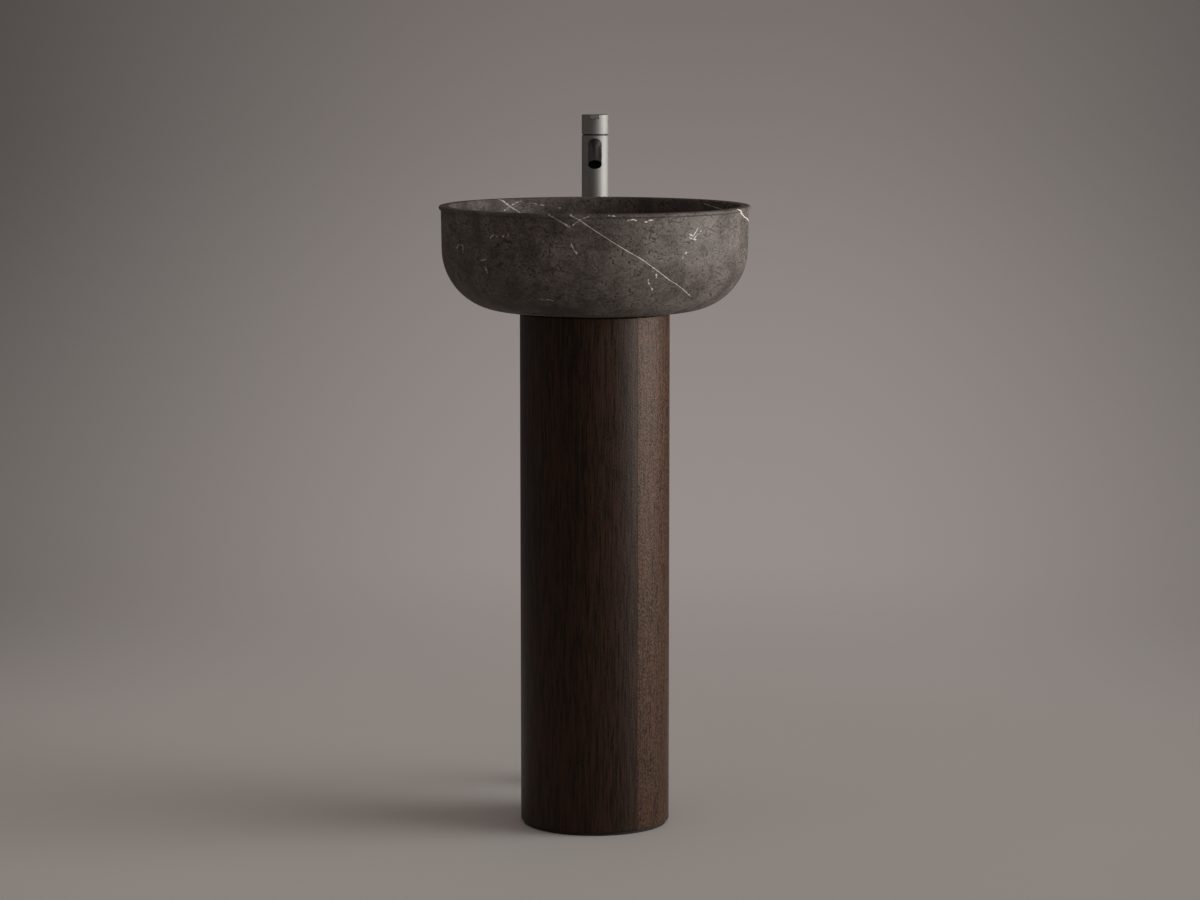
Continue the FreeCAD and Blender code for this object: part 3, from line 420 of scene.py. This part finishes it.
def stone(name):
    """Honed dark grey-brown marble: clouded ground, hair cracks, dark specks, white veins and squiggles, and
    white spots painted as glints.
    """
    look = Finish(name)
    place = look.place
    cloud = place.noise(STONE_CLOUD, 3.0)
    mottle = place.noise(STONE_MOTTLE, 6.0, 0.65)
    grain = place.noise(STONE_GRAIN, 5.0, 0.7)
    warped = place.vector("ADD", place.drift(STONE_MOTTLE, 3.0, (STONE_WARP, STONE_WARP, STONE_WARP)))

    ground = mottle.rise(0.30, 0.72).blend(STONE_DARK, STONE_PALE)
    ground = (cloud.rise(0.32, 0.70) * 0.45).blend(ground, STONE_CLOUDED)
    ground = (grain.rise(0.28, 0.72) * 0.90 + 0.55).shade(ground)

    level = warped.along(CRACK_LEVEL_SHARE)
    crack = level.ridge(STONE_CRACK, 2.0, 0.5, 0.6).fall(0.01, 0.06)
    crack = crack * place.noise(STONE_MOTTLE, 2.0).rise(0.48, 0.57)
    hair = level.ridge(STONE_HAIR, 3.0, 0.55, 0.8).fall(0.01, 0.08)
    hair = hair * warped.noise(STONE_MOTTLE, 2.0).fall(0.42, 0.52)

    sway = place.noise(VEIN_SWAY_SIZE, 4.0, 0.6) - 0.5
    spot = look.joined(look.turn() * BOWL_RADIUS, place.axis("Z") + sway * VEIN_SWAY, 0.0)
    loose_spot = spot.vector("ADD", place.drift(STROKE_WARP_SIZE, 2.0, (STROKE_WARP, STROKE_WARP, 0.0)))
    width = mottle.rise(0.25, 0.75) * 0.8 + 0.5
    broken = grain.rise(0.36, 0.54)

    def line(where, veins, half):
        """1 on the veins, which are twice half wide, and 0 away from them."""
        return (vein_distance(where, veins) / width).fall(half - VEIN_EDGE / 2, half + VEIN_EDGE / 2)

    drawn_crack = line(loose_spot, CRACKS, CRACK_HALF) * broken
    dark_lines = (crack * 0.8).greater(hair * 0.6)
    ground = (dark_lines.greater(drawn_crack * 0.8) * 0.9).blend(ground, CRACK_BROWN)

    speck = place.cells(STONE_SPECK).fall(0.12, 0.26) * place.noise(STONE_PATCH, 2.0).rise(0.44, 0.56)
    pit = line(spot, PITS, PIT_RADIUS)
    ground = (speck * 0.7).greater(pit * 0.9).blend(ground, SPECK_BROWN)

    patch = warped.noise(STONE_PATCH, 2.0, 0.5).rise(0.69, 0.75)
    behind = place.axis("Y").rise(0.0, BOWL_RADIUS)
    squiggle = warped.ridge(STONE_SQUIGGLE, 2.0, 0.6, 1.4).fall(0.01, 0.09) * patch * broken * behind
    main = line(spot, MAIN_VEINS, VEIN_HALF) * (broken * 0.55 + 0.40)
    thick = line(spot, THICK_VEINS, THICK_VEIN_HALF)
    bead = place.noise(STROKE_BEAD, 2.0).rise(0.42, 0.54)
    bright = line(loose_spot, BRIGHT_STROKES, BRIGHT_STROKE_HALF) * (bead * 0.80 + 0.20)
    faint = line(loose_spot, FAINT_STROKES, FAINT_STROKE_HALF) * (bead * 0.85 + 0.05)
    # painted glints as white spots on the strokes
    glint_spots = line(spot, PAINTED_GLINT_SPOTS, GLINT_SPOT_RADIUS)
    white = main.greater(thick).greater(bright).greater(faint).greater(glint_spots).greater(squiggle * 0.5)
    colour = white.blend(ground, VEIN_AND_GLINT_WHITE)

    height = grain * 0.35 + mottle * 0.25 - dark_lines * 0.4 - speck * 0.35
    roughness = STONE_ROUGHNESS + grain * 0.16 - white * 0.08
    normal = look.bump(height, STONE_BUMP)
    look.set(Specular_IOR_Level=STONE_SPECULAR)
    return look.set(Base_Color=colour, Roughness=roughness, Normal=normal)


def dark_oak(name):
    """Smoked oak veneer under satin lacquer: leaves of straight upright grain with open pores."""
    look = Finish(name)
    place = look.place
    sway = place.noise(WOOD_SWAY_SIZE, 2.0) - 0.5
    upright = place.vector("ADD", look.joined(sway * WOOD_SWAY, sway * -WOOD_SWAY, 0.0))

    past_edge = look.turn() - math.radians(LEAF_EDGE)
    leaf = past_edge / math.radians(LEAF_TURN)
    leaf_tone = leaf.steps()
    leaf_side = look.sum("FRACT", leaf)
    leaf_width = math.radians(LEAF_TURN) * COLUMN_RADIUS
    from_joint = leaf_side.lesser(1.0 - leaf_side) * leaf_width
    joint = from_joint.fall(0.0, JOINT_HALF)

    band = upright.along(BAND_SHARE).noise(WOOD_BAND, 3.0, 0.55, 0.3)
    streak = upright.along(STREAK_SHARE).noise(WOOD_STREAK, 4.0, 0.6)
    fibre = upright.along(FIBRE_SHARE).noise(WOOD_FIBRE, 3.0, 0.6)
    pore = upright.along(PORE_SHARE).noise(WOOD_PORE, 2.0, 0.5).rise(0.58, 0.70)
    pore = pore * streak.fall(0.42, 0.60)
    fleck = upright.along(FLECK_SHARE).noise(WOOD_FLECK, 3.0, 0.6)
    past_joint = past_edge * COLUMN_RADIUS
    lamp_side_leaf = past_joint.rise(-JOINT_BLUR, JOINT_BLUR)
    lamp_side_leaf = lamp_side_leaf * past_joint.fall(leaf_width - JOINT_BLUR, leaf_width + JOINT_BLUR)

    tone = band * 0.15 + streak * 0.45 + fibre * 0.40
    colour = tone.rise(0.41, 0.60).blend(WOOD_DARK, WOOD_BROWN)
    # stronger pale flecks on the leaf facing the key lamp: partly oak figure, partly painted sheen
    colour = (fleck.rise(0.46, 0.58) * (lamp_side_leaf * 0.58 + 0.12)).blend(colour, FLECK_BROWN)
    colour = (pore * 0.72).blend(colour, PORE_BROWN)
    colour = (joint * 0.6).blend(colour, JOINT_BROWN)
    # the leaf facing the key lamp is lighter: partly its own veneer tone, partly painted light
    colour = (leaf_tone * 0.08 + lamp_side_leaf * 0.26 + 0.46).shade(colour)

    height = fibre * 0.35 + streak * 0.20 + fleck * (lamp_side_leaf * 0.8 + 0.6) - pore * 0.15 - joint
    roughness = WOOD_ROUGHNESS + fibre * 0.14 + fleck * 0.10 + pore * 0.2
    normal = look.bump(height, WOOD_BUMP)
    look.set(Specular_IOR_Level=WOOD_SPECULAR, Specular_Tint=LACQUER_TINT)
    return look.set(Base_Color=colour, Roughness=roughness, Normal=normal)


def brushed_steel(name, level, lines):
    """Brushed stainless steel. The brushing runs up the piece, or round it where lines is 'round'."""
    look = Finish(name)
    place = look.place
    if lines == "round":
        radius = look.joined(place.axis("X"), place.axis("Y"), 0.0).length()
        brush = look.joined(radius, 0.0, place.axis("Z")).noise(BRUSH_LINE, 2.0)
    else:
        brush = place.along(BRUSH_SHARE).noise(BRUSH_LINE, 3.0, 0.6)
    smudge = place.noise(SMUDGE, 3.0)
    colour = (brush * 0.14 + smudge * 0.06 + 0.90).shade(level)
    roughness = STEEL_ROUGHNESS + brush * 0.12 + smudge * 0.06
    normal = look.bump(brush, METAL_BUMP)
    return look.set(Base_Color=colour, Metallic=1.0, Roughness=roughness, Normal=normal)


def satin(name, level):
    """Satin steel with faint smudges; the dark level that the spout passes in is painted shade and dark
    reflection.
    """
    look = Finish(name)
    smudge = look.place.noise(SMUDGE, 4.0, 0.6)
    colour = (smudge * 0.12 + 0.94).shade(level)
    return look.set(Base_Color=colour, Metallic=1.0, Roughness=SATIN_ROUGHNESS + smudge * 0.10)


def turned_metal(name, level, dull, roughness):
    """Turned or drawn metal with fine tool lines round it and a patchy tarnish."""
    look = Finish(name)
    place = look.place
    lines = look.joined(0.0, 0.0, place.axis("Z")).noise(TURNING_LINE, 2.0)
    patina = place.noise(PATINA, 5.0, 0.6)
    colour = (patina.rise(0.42, 0.72) * 0.6).blend(level, dull)
    colour = (lines * 0.16 + 0.92).shade(colour)
    rough = roughness + lines * 0.08 + patina * 0.12
    return look.set(Base_Color=colour, Metallic=1.0, Roughness=rough, Normal=look.bump(lines, METAL_BUMP))


def zinc(name):
    """Galvanised steel with the leafy spangle of its zinc."""
    look = Finish(name)
    tint = look.place.cells(SPANGLE, "Color").axis("X")
    smudge = look.place.noise(SMUDGE, 4.0)
    colour = tint.blend(ZINC_GREY, ZINC_PALE)
    colour = (smudge * 0.3 + 0.80).shade(colour)
    return look.set(Base_Color=colour, Metallic=1.0, Roughness=ZINC_ROUGHNESS + tint * 0.16)


def moulded(name, level, roughness):
    """Moulded plastic with a fine grained skin and a little dust."""
    look = Finish(name)
    grain = look.place.noise(MOULD_GRAIN, 2.0)
    dust = look.place.noise(DUST, 4.0)
    colour = (grain * 0.12 + dust * 0.16 + 0.86).shade(level)
    rough = roughness + grain * 0.10 + dust * 0.08
    return look.set(Base_Color=colour, Roughness=rough, Normal=look.bump(grain, MOULD_BUMP))


def plywood(name):
    """Birch plywood: thin plies stacked in Z with a fine grain."""
    look = Finish(name)
    place = look.place
    height = place.axis("Z") / PLY
    ply = height.steps()
    glue = abs(look.sum("FRACT", height) - 0.5).rise(0.40, 0.5)
    grain = place.vector("MULTIPLY", (1.0, PORE_SHARE, 1.0)).noise(WOOD_FIBRE, 4.0, 0.6)
    colour = ply.blend(PLY_TAN, PLY_PALE)
    colour = (grain * 0.35 + 0.80).shade(colour)
    colour = (glue * 0.6).blend(colour, GLUE_BROWN)
    roughness = PLY_ROUGHNESS + grain * 0.2
    return look.set(Base_Color=colour, Roughness=roughness, Normal=look.bump(grain, WOOD_BUMP))


FINISHES = {
    "stone": stone("honed dark marble"),
    "dark_oak": dark_oak("smoked oak veneer"),
    "plywood": plywood("birch plywood"),
    "black_rubber": moulded("black rubber", paint(30, 29, 28), 0.62),
    "zinc_steel": zinc("galvanised steel"),
    "tap_steel": brushed_steel("brushed steel", paint(160, 158, 154), "upright"),
    # the spout's dark colour is painted shade, standing in for the dark reflection on its steel
    "spout": satin("steel darkened as painted reflection", paint(62, 60, 57)),
    "waste_steel": brushed_steel("satin steel", paint(196, 195, 192), "round"),
    "brass": turned_metal("turned brass", paint(214, 176, 104), paint(150, 112, 62), 0.24),
    "copper": turned_metal("drawn copper", paint(214, 138, 104), paint(132, 76, 56), 0.26),
    "chrome": turned_metal("chromed brass", paint(214, 216, 218), paint(188, 190, 192), 0.06),
    "grey_plastic": moulded("grey pipe plastic", paint(134, 137, 140), 0.40),
    "black_plastic": moulded("black moulded plastic", paint(26, 26, 27), 0.42),
}


def dress_nodes():
    """Every CAD node gets the finish of its material slot, or its own where it has one."""
    for part in frame["record"]["subparts"]:
        materials = frame["nodes"][part["node"]].data.materials
        materials.clear()
        materials.append(FINISHES.get(part["node"], FINISHES[part["material_slot"]]))


def click_spring_coil():
    """The click waste's spring at its full length, though the real one shortens as the plug goes down: a
    small circle carried along a helix.

    At the angle turn along the helix and the angle side round the wire, the distance from the upright axis
    is the coil's radius plus the wire's radius times cos(side), and the height is the helix's height at that
    turn plus the wire's radius times sin(side).
    """
    low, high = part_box("click_spring")
    coil_radius = (high[0] - low[0]) / 2 - SPRING_WIRE_RADIUS
    steps = SPRING_TURNS * SPRING_TURN_STEPS
    share = np.linspace(0.0, 1.0, steps + 1)[:, None]
    turn = share * (SPRING_TURNS * math.tau)
    side = np.arange(SPRING_SIDES)[None, :] * (math.tau / SPRING_SIDES)
    bottom = low[2] + SPRING_WIRE_RADIUS
    top = high[2] - SPRING_WIRE_RADIUS
    reach = coil_radius + SPRING_WIRE_RADIUS * np.cos(side)
    height = bottom + (top - bottom) * share + SPRING_WIRE_RADIUS * np.sin(side)
    points = np.stack([reach * np.cos(turn), reach * np.sin(turn), height], axis=-1).reshape(-1, 3)

    number = np.arange((steps + 1) * SPRING_SIDES).reshape(steps + 1, SPRING_SIDES)
    next_side = np.roll(number, -1, axis=1)
    quads = np.stack([number[:-1], number[1:], next_side[1:], next_side[:-1]], axis=-1).reshape(-1, 4)
    ends = [number[0].tolist(), number[-1, ::-1].tolist()]
    mesh = bpy.data.meshes.new("click_spring_coil")
    mesh.from_pydata(points.tolist(), [], quads.tolist() + ends)
    mesh.shade_smooth()
    mesh.materials.append(FINISHES["zinc_steel"])
    coil = bpy.data.objects.new("click_spring_coil", mesh)
    bpy.context.scene.collection.objects.link(coil)

    joints = {joint["name"]: joint for joint in frame["record"]["behaviour"]["joints"]}
    shortest = high[2] - low[2] + joints["waste_plug_push"]["range_m"][0]
    keep = shortest / (high[2] - low[2])
    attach(coil, "washstand")
    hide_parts("click_spring")
    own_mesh(coil)


def floor():
    """A wide pale floor that fades out far from the object and throws little light back at it."""
    corners = [(x * FLOOR_HALF, y * FLOOR_HALF, 0.0) for x, y in ((-1, -1), (1, -1), (1, 1), (-1, 1))]
    mesh = bpy.data.meshes.new("floor")
    mesh.from_pydata(corners, [], [(0, 1, 2, 3)])
    made = bpy.data.objects.new("floor", mesh)
    bpy.context.scene.collection.objects.link(made)
    look = Finish("pale floor")
    wear = look.place.noise(FLOOR_WEAR, 4.0)
    seen = look.node("ShaderNodeLightPath", {}, {}, "Is Camera Ray")
    for ray in ("Is Glossy Ray", "Is Transmission Ray"):
        seen = seen.greater(look.node("ShaderNodeLightPath", {}, {}, ray))
    colour = (wear * 0.05 + 0.975).shade(seen.blend(FLOOR_BOUNCE, FLOOR_SEEN))
    look.set(Base_Color=colour, Roughness=FLOOR_ROUGHNESS, Specular_IOR_Level=FLOOR_SPECULAR)
    reach = look.place.length()
    clear = look.node("ShaderNodeBsdfTransparent", {}, {})
    solid = Wire(look.tree, look.shader.outputs["BSDF"])
    fade = reach.rise(FLOOR_FADE_START, FLOOR_FADE_END)
    mixed = look.node("ShaderNodeMixShader", {}, {0: fade, 1: solid, 2: clear})
    look.tree.links.new(mixed.socket, look.tree.nodes["Material Output"].inputs["Surface"])
    mesh.materials.append(look.material)


def studio():
    """A soft grey surround, palest straight behind the object, and one large soft light on the right."""
    world = bpy.data.worlds.new("studio")
    bpy.context.scene.world = world
    world.use_nodes = True
    sky = Wire(world.node_tree)
    way = sky.node("ShaderNodeTexCoord", {}, {}, "Generated")
    beside = abs(way.axis("X") - BACKDROP_MIDDLE).rise(*BACKDROP_SIDE_SPAN)
    backdrop = way.axis("Z").rise(*BACKDROP_HEIGHT_SPAN).blend(BACKDROP_LOW, BACKDROP_HIGH)
    backdrop = beside.blend(backdrop, BACKDROP_SIDE)
    surround = way.axis("X").rise(*SURROUND_SPAN).blend(SURROUND_LEFT, SURROUND_RIGHT)
    colour = way.axis("Y").rise(*BACKDROP_DEPTH_SPAN).blend(surround, backdrop)
    colour = way.axis("Z").rise(*OVERHEAD_SPAN).blend(colour, OVERHEAD)
    far_floor = beside.blend(FAR_FLOOR_MIDDLE, FAR_FLOOR_SIDE)
    colour = way.axis("Z").fall(*FAR_FLOOR_SPAN).blend(colour, far_floor)
    world.node_tree.links.new(colour.socket, world.node_tree.nodes["Background"].inputs["Color"])

    lamp = bpy.data.lights.new("soft key", "AREA")
    lamp.shape = "RECTANGLE"
    lamp.size = KEY_WIDTH
    lamp.size_y = KEY_TALL
    lamp.energy = KEY_POWER
    lamp.spread = math.radians(KEY_SPREAD)
    key = bpy.data.objects.new("soft key", lamp)
    bpy.context.scene.collection.objects.link(key)
    turn = math.radians(KEY_TURN)
    key.location = (math.sin(turn) * KEY_DISTANCE, -math.cos(turn) * KEY_DISTANCE, KEY_HEIGHT)
    key.rotation_euler = (math.radians(90 + KEY_TILT), 0.0, turn)
    key.visible_camera = False


def camera():
    """A long lens a little over the rim's height, looking slightly down."""
    lens = bpy.data.cameras.new("camera")
    lens.lens = CAMERA_LENS
    made = bpy.data.objects.new("camera", lens)
    bpy.context.scene.collection.objects.link(made)
    made.location = CAMERA_PLACE
    made.rotation_euler = (math.radians(90 - CAMERA_PITCH), 0.0, 0.0)
    bpy.context.scene.camera = made


dress_nodes()
click_spring_coil()
floor()
studio()
camera()
bpy.context.scene.view_settings.view_transform = "Standard"
